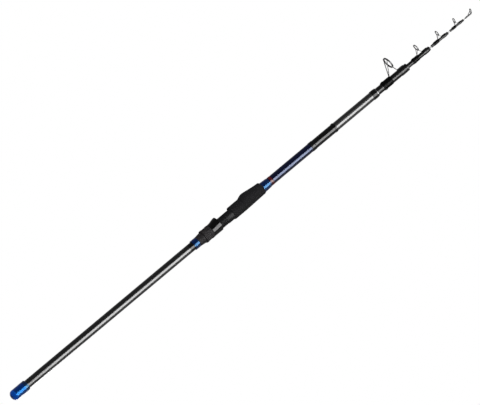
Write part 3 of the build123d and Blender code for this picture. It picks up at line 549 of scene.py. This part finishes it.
cone_r, cone_low, cone_top = spans("rear_cone")
cone_rear_r = handle_r + 1.6
cone_outline = [(handle_r, cone_low, 0.1), (cone_rear_r, cone_low, 0.5)]
cone_grooves = 3
for i in range(cone_grooves):
    z = cone_low + 7.0 + i * 2.6
    radius = cone_rear_r + (cone_r - cone_rear_r) * (z - cone_low) / (cone_top - cone_low)
    cone_outline += [(radius, z, 0.15), (radius - 0.3, z + 0.45, 0.15), (radius + 0.1, z + 0.9, 0.15)]
cone_outline += [(cone_r, cone_top, 0.7), (handle_r, cone_top, 0.1)]
turned("rear_cone", cone_outline, [nut_rubber], "butt_section", ["rear_cone"])

nut_r, nut_low, nut_top = spans("lock_nut")
nut_bore_r = thread_r + 0.1
nut_length = nut_top - nut_low
flute_count = 18
flute_depth = 0.9
waist_half, waist_depth = 0.25, 0.6
nut_round, nut_round_length = 1.5, 1.8


def nut_radius(turn, z):
    """Two fluted grip bands with a smooth waist between them."""
    share = (z - nut_low) / nut_length
    waist = max(0.0, 1 - (abs(share - 0.5) / waist_half) ** 6)
    end = min(share, 1 - share) * nut_length / nut_round_length
    round_off = nut_round * (1 - sqrt(max(0.0, 1 - max(0.0, 1 - end) ** 2)))
    depth = flute_depth * min(1.0, max(0.0, (end - 0.7) / 1.2))
    flute = max(0.0, cos(flute_count * turn)) ** 1.5
    return nut_r - round_off - waist_depth * waist - depth * flute


nut_rings = []
nut_steps = 40
nut_around = 216
nut_turns = [2 * pi * k / nut_around for k in range(nut_around)]
for i in range(nut_steps + 1):
    z = nut_low + nut_length * (0.5 - 0.5 * cos(pi * i / nut_steps))
    nut_rings.append([at(nut_radius(turn, z), turn, z) for turn in nut_turns])
nut_rings.append(circle(nut_bore_r, nut_top, nut_around))
nut_rings.append(circle(nut_bore_r, nut_low, nut_around))
add_piece("lock_nut", nut_rings, [nut_rubber], "lock_nut", ["lock_nut"], closed=True,
          sharp_deg=45)

# Sliding hood: drawn from aluminium and painted gloss black. It swells to its mouth on the guide
# side, where a reel's foot goes under its roof, and a thin cushion lines the roof. Its key runs in
# the barrel's channel, so it slides without turning.
hood_black = new_finish("hood_black", (0.001, 0.001, 0.001), 0.1, specular=0.038)
vary_colour(hood_black, speckle(hood_black, 300), (0.0005, 0.0005, 0.0005), (0.002, 0.002, 0.002))
vary_roughness(hood_black, speckle(hood_black, 1500), 0.08, 0.14)

hood_r = nut_bore_r + 2.3
hood_reach = hood_r + 3.7
hood_length = hood_top - hood_low
hood_swell_start = 0.12
roof_thickness = 1.6
roof_low = hood_low + 8.0


def ease(t):
    """From 0 to 1 with a soft start and a soft end."""
    t = max(0.0, min(1.0, t))
    return t * t * (3 - 2 * t)


def shifted_circle(far_reach, guide_reach, z):
    """A circle at a height that reaches further to the guide side than to the far side."""
    centre, radius = (far_reach - guide_reach) / 2, (far_reach + guide_reach) / 2
    around = 120
    return [at(radius, 2 * pi / around * i, z) + Vector((centre * mm, 0, 0)) for i in range(around)]


def hood_ring(z, inset):
    """The hood's outline at a height, which moves out towards the guide side."""
    share = (z - hood_low) / hood_length
    reach = hood_r + (hood_reach - hood_r) * ease((share - hood_swell_start) / (1 - hood_swell_start))
    return shifted_circle(hood_r - inset, reach - inset, z)


def hood_inside(z, room):
    """The hood's inside: round over the thread, and open up to the roof over the reel's foot."""
    ring = []
    for outer, roof in zip(hood_ring(z, 0), hood_ring(z, roof_thickness)):
        bore = at(nut_bore_r, atan2(outer.y, outer.x), z)
        under_roof = roof.x < 0 and abs(roof.y) < bed_half * mm and room
        ring.append(roof if under_roof and roof.xy.length > bore.xy.length else bore)
    return ring


hood_rings = [hood_ring(hood_low, 0.45), hood_ring(hood_low + 0.15, 0.15), hood_ring(hood_low + 0.5, 0)]
hood_steps = 24
for i in range(1, hood_steps):
    hood_rings.append(hood_ring(hood_low + hood_length * i / hood_steps, 0))
hood_rings += [hood_ring(hood_top - 0.4, 0), hood_ring(hood_top - 0.1, 0.12), hood_ring(hood_top, 0.4)]
hood_rings += [hood_inside(hood_top, True), hood_inside(roof_low, True),
               hood_inside(roof_low, False), hood_inside(hood_low, False)]
add_piece("sliding_hood", hood_rings, [hood_black], "sliding_hood", ["sliding_hood"],
          closed=True, sharp_deg=40)
dress("hood_liner", soft_rubber)

# Fixed hood and foregrip: closed-cell foam over the front of the barrel, cut and sanded to shape.
# The fixed hood holds the front end of the reel's foot, with a cushion under its roof. The grip
# swells on the guide side, where the hand lies.
grip_foam = new_finish("grip_foam", (0.01, 0.0096, 0.0108), 0.8, specular=0.01)
foam_cells = add_node(grip_foam, "ShaderNodeTexVoronoi",
                      {"Vector": place_on_rod(grip_foam, (1, 1, 1)), "Scale": 1100.0})
vary_colour(grip_foam, speckle(grip_foam, 420), (0.0076, 0.0074, 0.0082), (0.0124, 0.012, 0.0132))
raise_surface(grip_foam, foam_cells.outputs["Distance"], 0.16, 0.7)
grip_shader = grip_foam.node_tree.nodes["Principled BSDF"]
grip_shader.inputs["Sheen Weight"].default_value = 0.006
grip_shader.inputs["Sheen Roughness"].default_value = 0.5
grip_shader.inputs["Sheen Tint"].default_value = (0.75, 0.7, 0.95, 1)

dress("fixed_hood", grip_foam)
dress("fixed_hood_liner", soft_rubber)

_, grip_low, grip_top = spans("foregrip")
grip_length = grip_top - grip_low
fixed_hood_top_reach = barrel_r + 2.3
fixed_hood_low_reach = barrel_r + 1.9
grip_end_top = front_ring_r + 2.9
grip_end_low = front_ring_r + 1.4
grip_swell = 4.6
swell_points = [(0, 0), (0.08, 0.49), (0.22, 1), (0.36, 0.89), (0.6, 0.47), (0.82, 0.15), (1, 0)]


def swell_at(share):
    """The grip's swell along its length, drawn smoothly through the points above."""
    for i in range(len(swell_points) - 1):
        (t0, v0), (t1, v1) = swell_points[i], swell_points[i + 1]
        if share <= t1:
            before = swell_points[max(i - 1, 0)]
            after = swell_points[min(i + 2, len(swell_points) - 1)]
            slope_0 = (v1 - before[1]) / (t1 - before[0])
            slope_1 = (after[1] - v0) / (after[0] - t0)
            width = t1 - t0
            u = (share - t0) / width
            return ((2 * u**3 - 3 * u**2 + 1) * v0 + (u**3 - 2 * u**2 + u) * slope_0 * width
                    + (-2 * u**3 + 3 * u**2) * v1 + (u**3 - u**2) * slope_1 * width)
    return 0.0


def grip_ring(share, inset):
    """The grip's outline at a share of its length."""
    top = fixed_hood_top_reach + (grip_end_top - fixed_hood_top_reach) * share
    top += grip_swell * swell_at(share) - inset
    low = fixed_hood_low_reach + (grip_end_low - fixed_hood_low_reach) * share - inset
    return shifted_circle(low, top, grip_low + grip_length * share)


grip_steps = 60
grip_round = 1.3
grip_round_steps = 4
grip_rings = [circle(handle_r, grip_low, 120), grip_ring(0.0, 0.25), grip_ring(0.004, 0)]
grip_rings += [grip_ring(i / grip_steps, 0) for i in range(1, grip_steps - 1)]
for k in range(grip_round_steps + 1):
    turn = pi / 2 * k / grip_round_steps
    share = 1 - grip_round * (1 - sin(turn)) / grip_length
    grip_rings.append(grip_ring(share, grip_round * (1 - cos(turn))))
grip_rings.append(circle(handle_r, grip_top, 120))
add_piece("foregrip", grip_rings, [grip_foam], "butt_section", ["foregrip"], closed=True,
          sharp_deg=50)

# Thread wraps: nylon thread wound side by side round the tube and flooded with varnish that ends in
# a soft ramp. The winding still shows as fine ridges. A narrow dark-red band of the same make sits
# in front of the grip.
wrap_pitch = 0.45
wrap_ridge = 0.022
wrap_varnish = new_finish("wrap_varnish", (0.001, 0.001, 0.001), 0.14, specular=0.045)
vary_colour(wrap_varnish, spiral(wrap_varnish, wrap_pitch), (0.0005, 0.0005, 0.0005),
            (0.002, 0.002, 0.002))
vary_roughness(wrap_varnish, speckle(wrap_varnish, 500), 0.1, 0.18)
red_varnish = new_finish("red_varnish", (0.06, 0.002, 0.004), 0.14, specular=0.05)
vary_colour(red_varnish, spiral(red_varnish, wrap_pitch), (0.05, 0.0015, 0.003), (0.07, 0.0025, 0.005))


def wound_band(node, low, top, inner_r, cover, finish, body, hump=None, second=0.0, around=72):
    """A thread wrap from low to top. A hump lifts it where a guide's foot lies under it, and a
    second layer of thread may lie over its rear end."""
    second_low, second_top, second_ramp = low + 3.0, low + 9.0, 1.2
    steps = int((top - low) / wrap_pitch * 4)
    ramp = min(1.6, (top - low) / 4)
    rings = []
    for i in range(steps + 1):
        z = low + (top - low) * i / steps
        rise = ease((z - low) / ramp) * ease((top - z) / ramp)
        ring = []
        for k in range(around):
            turn = 2 * pi * k / around
            winding = wrap_ridge * cos(2 * pi * (z - low) / wrap_pitch - turn) * rise
            radius = inner_r + cover * (0.3 + 0.7 * rise) + winding
            radius += (second * ease((z - second_low) / second_ramp)
                       * ease((second_top - z) / second_ramp))
            if hump:
                radius += hump(radius, turn, z)
            ring.append(at(radius, turn, z))
        rings.append(ring)
    rings.append(circle(inner_r, top, around))
    rings.append(circle(inner_r, low, around))
    add_piece(node, rings, [finish], body, [node], closed=True, sharp_deg=50)


def plain_band(node, inner_r, cover, finish, body):
    """A wrap that covers nothing but the tube."""
    _, low, top = spans(node)
    wound_band(node, low, top, inner_r, cover, finish, body)


plain_band("accent_band", lacquer_r, 0.25, red_varnish, "butt_section")
plain_band("mid_wrap", lacquer_r, 0.7, wrap_varnish, "butt_section")
plain_band("mouth_wrap", bare_front_r, 1.0, wrap_varnish, "butt_section")

# Rings on the tube's upper part: a thin black-chromed ring covers the lacquer's edge, and a second
# keeps the tube's mouth from splitting.
mouth_metal = new_finish("mouth_metal", (0.02, 0.02, 0.021), 0.24, specular=0.16)
vary_colour(mouth_metal, speckle(mouth_metal, 900), (0.016, 0.016, 0.017), (0.025, 0.025, 0.026))
raise_surface(mouth_metal, speckle(mouth_metal, 3500, stretch=(0.2, 0.2, 3)), 0.006, 0.5)
turned(
    "lacquer_ring",
    [(lacquer_r, lacquer_ring_low, 0.1), (lacquer_ring_r, lacquer_ring_low, 0.4),
     (lacquer_ring_r, lacquer_top, 0.4), (lacquer_r, lacquer_top, 0.1)],
    [wrap_varnish], "butt_section", ["lacquer_ring"],
)
mouth_ring_r, mouth_ring_low, mouth_ring_top = spans("mouth_ring")
turned(
    "mouth_ring",
    [(bare_front_r, mouth_ring_low, 0.1), (mouth_ring_r, mouth_ring_low, 0.25),
     (mouth_ring_r, mouth_ring_top, 0.25), (bare_front_r, mouth_ring_top, 0.1)],
    [mouth_metal], "butt_section", ["mouth_ring"],
)

# The three sections that draw out: tapered carbon tubes that slide in one another and jam by
# their swollen ends. The last one is a thin blank painted white, so that a bite shows.
section_carbon = new_finish("section_carbon", (0.002, 0.002, 0.002), 0.16, specular=0.042)
vary_colour(section_carbon, speckle(section_carbon, 1100, stretch=(1, 1, 0.3)), (0.0008, 0.0008, 0.0008),
            (0.004, 0.004, 0.004), 0.4, 0.7)
raise_surface(section_carbon, spiral(section_carbon, 2.6), 0.02, 0.3)
tip_white = new_finish("tip_white", (0.5, 0.5, 0.49), 0.3, specular=0.06)
vary_colour(tip_white, speckle(tip_white, 400), (0.46, 0.46, 0.45), (0.54, 0.54, 0.53))


def tapered_tube(node, stations, bores, finish, body):
    """A section of the rod from (height, radius) stations outside and inside, butt end first."""
    outline = [(bores[0][1], bores[0][0], 0.1)]
    outline += [(radius, height, 0.3) for height, radius in stations]
    outline += [(radius, height, 0.2) for height, radius in reversed(bores[1:])]
    turned(node, outline, [finish], body, [node], around=64)


section_2_low_r, section_2_mouth_r = 9.47, 9.0
section_2_ring_r, section_2_ring_low, section_2_top = spans("section_2_mouth_ring")
section_low = 47.8
section_2_jam = (187.8, 9.3)
section_2_bore_r = 8.14
section_2_taper = 200
tapered_tube("section_2_tube",
             [(section_low, section_2_low_r), section_2_jam, (section_2_top, section_2_mouth_r)],
             [(section_low, section_2_bore_r), (section_2_top - section_2_taper, section_2_bore_r),
              (section_2_top, section_2_mouth_r - 1.1)],
             section_carbon, "section_2")
turned(
    "section_2_mouth_ring",
    [(section_2_mouth_r, section_2_ring_low, 0.1), (section_2_ring_r, section_2_ring_low, 0.2),
     (section_2_mouth_r + 0.3, section_2_top, 0.2), (section_2_mouth_r, section_2_top, 0.1)],
    [wrap_varnish], "section_2", ["section_2_mouth_ring"], around=64,
)
section_3_r, _, section_3_top = spans("section_3_tube")
section_3_mouth_r = 5.49
section_3_jam = (167.8, 7.85)
section_3_bore_r = 7.22
section_3_taper = 1240
tapered_tube("section_3_tube",
             [(section_low, section_3_r), section_3_jam, (section_3_top, section_3_mouth_r)],
             [(section_low, section_3_bore_r), (section_3_top - section_3_taper, section_3_bore_r),
              (section_3_top, section_3_mouth_r - 0.85)],
             section_carbon, "section_3")
tip_r, _, tip_top = spans("tip_blank")
tip_end_r = 1.25
tip_jam = (4.59, 147.8)
tip_bore_r, tip_bore_top = 1.43, 1027.8
turned(
    "tip_blank",
    [(tip_r - 0.9, section_low, 0.1), (tip_r, section_low, 0.2), tip_jam, (tip_end_r, tip_top, 0.2),
     (0, tip_top, 0), (0, tip_bore_top, 0), (tip_bore_r, tip_bore_top - 0.4, 0.1)],
    [tip_white], "tip_section", ["tip_blank"], around=40,
)

# Line guides: each is bent from stainless wire, with two legs to the rear foot and one to the front
# foot, and a pressed rim round a ceramic ring. The feet lie flat on the blank under the wraps. The
# last two guides sit on sleeves that slide along the tip.
guide_metal = new_finish("guide_metal", (0.02, 0.02, 0.021), 0.25, specular=0.06)
vary_colour(guide_metal, speckle(guide_metal, 900), (0.016, 0.016, 0.017), (0.025, 0.025, 0.026))
raise_surface(guide_metal, speckle(guide_metal, 3500), 0.006, 0.4)
guide_ceramic = new_finish("guide_ceramic", (0.006, 0.006, 0.007), 0.14, specular=0.05)
vary_colour(guide_ceramic, speckle(guide_ceramic, 700), (0.004, 0.004, 0.005), (0.009, 0.009, 0.01))


def curve_through(points, steps=8):
    """A smooth run through points, straight from the first to the second and at the end."""
    result = []
    for i in range(len(points) - 1):
        before = points[max(i - 1, 0)]
        here, after = points[i], points[i + 1]
        beyond = points[min(i + 2, len(points) - 1)]
        for k in range(steps):
            t = k / steps
            result.append(0.5 * (2 * here + (after - before) * t
                                 + (2 * before - 5 * here + 4 * after - beyond) * t * t
                                 + (3 * here - before - 3 * after + beyond) * t**3))
    return result + [points[-1]]


def wire_rings(points, radius, around=14):
    """Rings of points along a wire, in metres, with both ends closed by a point."""
    rings = [[points[0]]]
    side = None
    for i, point in enumerate(points):
        run = (points[min(i + 1, len(points) - 1)] - points[max(i - 1, 0)]).normalized()
        side = run.orthogonal() if side is None else side - run * side.dot(run)
        side.normalize()
        other = run.cross(side)
        rings.append([
            point + (side * cos(2 * pi * k / around) + other * sin(2 * pi * k / around)) * radius
            for k in range(around)
        ])
    return rings + [[points[-1]]]


def rim_rings(place, outer_r, inner_r, width, rounding, around=72, steps=4):
    """Rings round a flat hoop with rounded edges, placed by a matrix. Sizes are in millimetres."""
    corners = [(inner_r, -width / 2, rounding), (outer_r, -width / 2, rounding),
               (outer_r, width / 2, rounding), (inner_r, width / 2, rounding)]
    return [[place @ point for point in circle(radius, height, around)]
            for radius, height in softened(corners, rounding, steps)]


def skins(name, groups, finish, body, replaced):
    """One piece from several skins. Each group is its rings, and whether they close on themselves."""
    made = []
    for rings, closed in groups:
        made.append(add_piece(name, rings, [finish], body, [], closed=closed, sharp_deg=40))
    joined = bmesh.new()
    for part in made:
        joined.from_mesh(part.data)
        if part is not made[0]:
            bpy.data.objects.remove(part)
    joined.to_mesh(made[0].data)
    joined.free()
    made[0].data.set_sharp_from_angle(angle=radians(40))
    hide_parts(*replaced)


def foot_rings(near, far, carrier_r, gap, thickness, near_half, far_half):
    """A guide's foot: a plate that follows the blank and narrows to its end."""
    rings = []
    steps = 10
    for i in range(steps + 1):
        z = near + (far - near) * i / steps
        half = near_half + (far_half - near_half) * i / steps
        ring = []
        for offset, shares in ((gap, range(-4, 5)), (thickness, range(4, -5, -1))):
            radius = carrier_r + offset
            for share in shares:
                turn = pi - asin(half * share / 4 / radius)
                ring.append(at(radius, turn, z))
        rings.append(ring)
    centre = sum(rings[0], Vector()) / len(rings[0])
    centre_end = sum(rings[-1], Vector()) / len(rings[-1])
    return [[centre]] + rings + [[centre_end]]


dull_varnish = new_finish("dull_varnish", (0.001, 0.001, 0.001), 0.3, specular=0.008)
vary_colour(dull_varnish, spiral(dull_varnish, wrap_pitch), (0.0005, 0.0005, 0.0005),
            (0.002, 0.002, 0.002))
vary_roughness(dull_varnish, speckle(dull_varnish, 500), 0.24, 0.36)

guides = {
    "guide_1": dict(body="section_2", lean=-7.0, width=3.2, wall=0.9, insert=2.3, wire=1.9,
                    leg_share=0.48, back=19.0, rear_foot=28.0, ahead=5.0, front_foot=17.0,
                    breadth=5.0, foot=0.9, cover=0.8, second=0.8),
    "guide_2": dict(body="section_3", lean=-4.0, width=2.0, wall=0.8, insert=1.5, wire=1.4,
                    leg_share=-0.3, back=9.0, rear_foot=19.0, ahead=4.0, front_foot=14.0,
                    breadth=3.6, foot=0.7, cover=0.7, second=0.4),
    "guide_3": dict(body="sliding_guide_3", lean=-2.6, width=1.7, wall=0.7, insert=1.2, wire=1.2,
                    leg_share=-0.3, back=7.0, rear_foot=15.0, ahead=3.0, front_foot=11.0,
                    breadth=2.8, foot=0.55, cover=0.6, second=0.0),
    "guide_4": dict(body="sliding_guide_4", lean=10.0, width=1.6, wall=0.6, insert=1.1, wire=1.1,
                    leg_share=-0.3, back=5.0, rear_foot=11.0, ahead=3.0, front_foot=8.0,
                    breadth=2.2, foot=0.45, cover=0.5, second=0.0),
}
bond_gap = 0.03
insert_round = 0.42


def foot_hump(size, near, far):
    """How far a wrap is lifted by the foot under it, as a function of place."""
    def lift(radius, turn, z):
        if cos(turn) > 0:
            return 0.0
        share = (z - near) / (far - near)
        if share > 1.15:
            return 0.0
        half = size["breadth"] / 2 * (1 - 0.55 * min(1.0, max(0.0, share)))
        across = abs(radius * sin(turn))
        beside = 1 - ease((across - half) / (size["cover"] * 2.2))
        return size["foot"] * beside * ease((1.12 - share) / 0.14)
    return lift


for name, size in guides.items():
    low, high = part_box(f"{name}_ring")
    centre = (low + high) / 2
    reach, height = -centre.x / mm, centre.z / mm
    ring_r = max(-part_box(f"{name}_frame")[0].y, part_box(f"{name}_frame")[1].y) / mm
    insert_r = ring_r - size["wall"] - bond_gap
    width = size["width"]
    rear_r, _, _ = spans(f"{name}_rear_wrap")
    carrier_r = rear_r - size["cover"]
    place = Matrix.Translation(Vector((-reach, 0, height)) * mm) @ Matrix.Rotation(
        radians(size["lean"]), 4, "Y")
    middle_r = ring_r - size["wall"] / 2
    rear_near, rear_far = height - size["back"], height - size["back"] - size["rear_foot"]
    front_near, front_far = height + size["ahead"], height + size["ahead"] + size["front_foot"]
    wire_r = size["wire"] / 2
    lie_r = carrier_r + size["foot"] * 0.6
    groups = [(rim_rings(place, ring_r, ring_r - size["wall"], width, size["wall"] / 3), True)]
    side = sqrt(1 - size["leg_share"] ** 2) * middle_r
    for sign in (-1, 1):
        on_rim = place @ (Vector((-middle_r * size["leg_share"], sign * side, -width / 2)) * mm)
        foot_y = sign * (size["breadth"] / 2 - wire_r)
        foot_x = -sqrt(lie_r**2 - foot_y**2)
        foot_point = Vector((foot_x, foot_y, rear_near - wire_r)) * mm
        lead = (foot_point - on_rim).normalized()
        start = on_rim + lead * wire_r * 0.2 * mm
        bend = size["wire"] * 1.6 * mm
        along = Vector((0, 0, -1)) * bend
        points = [start, start + (foot_point - start) * 0.5, foot_point - lead * bend,
                  foot_point + (along - lead * bend) * 0.18, foot_point + along,
                  foot_point + along * 2.5]
        groups.append((wire_rings(curve_through(points), wire_r * mm), False))
    low_point = place @ (Vector((middle_r, 0, 0)) * mm)
    foot_point = Vector((-lie_r, 0, front_near + wire_r)) * mm
    lead = (foot_point - low_point).normalized()
    along = Vector((0, 0, 1)) * size["wire"] * 1.4 * mm
    bend = size["wire"] * 1.4 * mm
    points = [low_point + lead * wire_r * 0.3 * mm, low_point + (foot_point - low_point) * 0.5,
              foot_point - lead * bend * 0.6, foot_point + (along - lead * bend) * 0.15,
              foot_point + along, foot_point + along * 2.5]
    groups.append((wire_rings(curve_through(points), wire_r * mm), False))
    for near, far in ((rear_near, rear_far), (front_near, front_far)):
        groups.append((foot_rings(near, far, carrier_r, bond_gap, size["foot"], size["breadth"] / 2,
                                  size["breadth"] * 0.45 / 2), False))
    skins(f"{name}_frame", groups, guide_metal, size["body"], [f"{name}_frame"])
    insert_rings = rim_rings(place, insert_r, insert_r - size["insert"], width, width * insert_round,
                             steps=6)
    add_piece(f"{name}_ring", insert_rings, [guide_ceramic], size["body"],
              [f"{name}_ring"], closed=True, sharp_deg=60)
    for end, near, far in (("rear", rear_near, rear_far), ("front", front_near, front_far)):
        node = f"{name}_{end}_wrap"
        end_r, wrap_low, wrap_top = spans(node)
        inner_r = end_r - size["cover"]
        finish = dull_varnish if end == "rear" else wrap_varnish
        second = size["second"] if end == "rear" else 0.0
        wound_band(node, wrap_low, wrap_top, inner_r, size["cover"], finish,
                   size["body"], hump=foot_hump(size, near, far), second=second)

sleeve_wall = 0.9
for number in (3, 4):
    node = f"guide_{number}_sleeve"
    sleeve_r, sleeve_low, sleeve_top = spans(node)
    turned(node, [(sleeve_r - sleeve_wall, sleeve_low, 0.1), (sleeve_r, sleeve_low, 0.15),
                  (sleeve_r, sleeve_top, 0.15), (sleeve_r - sleeve_wall, sleeve_top, 0.1)],
           [section_carbon], f"sliding_guide_{number}", [node], around=48)

# Tip top: a closed steel tube glued over the tip, with the last ring on two wires that run back to
# a saddle soldered on the tube.
tube_r, tip_tube_low, tip_tube_top = spans("tip_top_tube")
tip_tube_wall, tip_tube_plug = 0.3, 3.0
turned("tip_top_tube", [(tube_r - tip_tube_wall, tip_tube_low, 0.05), (tube_r, tip_tube_low, 0.1),
                        (tube_r, tip_tube_top, tube_r / 3), (0, tip_tube_top, 0),
                        (0, tip_tube_top - tip_tube_plug, 0),
                        (tube_r - tip_tube_wall, tip_tube_top - tip_tube_plug, 0.05)],
       [guide_metal], "tip_section", ["tip_top_tube"], around=40)
low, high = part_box("tip_top_ring")
centre = (low + high) / 2
tip_ring_r, tip_ring_wall, tip_ring_insert, tip_ring_width = 5.4, 0.6, 1.1, 1.6
tip_lean_deg = 15.0
place = Matrix.Translation(centre) @ Matrix.Rotation(radians(tip_lean_deg), 4, "Y")
groups = [(rim_rings(place, tip_ring_r, tip_ring_r - tip_ring_wall, tip_ring_width, 0.2), True)]
brace_foot = tip_tube_low + 11.0
brace_r = 0.5
for sign in (-1, 1):
    middle_r = tip_ring_r - tip_ring_wall / 2
    on_rim = place @ (Vector((-middle_r * 0.1, sign * middle_r * 0.99, -tip_ring_width / 2)) * mm)
    foot_y = sign * (tube_r - brace_r)
    foot_x = -sqrt((tube_r + 0.25) ** 2 - foot_y**2)
    foot_point = Vector((foot_x, foot_y, brace_foot - brace_r)) * mm
    lead = (foot_point - on_rim).normalized()
    along = Vector((0, 0, -1.6)) * mm
    points = [on_rim, on_rim + (foot_point - on_rim) * 0.5, foot_point - lead * 1.5 * mm,
              foot_point + along * 0.2, foot_point + along, foot_point + along * 2.6]
    groups.append((wire_rings(curve_through(points), brace_r * mm), False))
saddle_half, saddle_length, saddle_wall = tube_r * 0.95, 6.0, 0.45
groups.append((foot_rings(brace_foot, brace_foot - saddle_length, tube_r, bond_gap, saddle_wall,
                          saddle_half, saddle_half), False))
skins("tip_top_frame", groups, guide_metal, "tip_section", ["tip_top_frame"])
insert_r = tip_ring_r - tip_ring_wall - bond_gap
insert_rings = rim_rings(place, insert_r, insert_r - tip_ring_insert, tip_ring_width,
                         tip_ring_width * insert_round, steps=6)
add_piece("tip_top_ring", insert_rings, [guide_ceramic], "tip_section",
          ["tip_top_ring"], closed=True, sharp_deg=60)
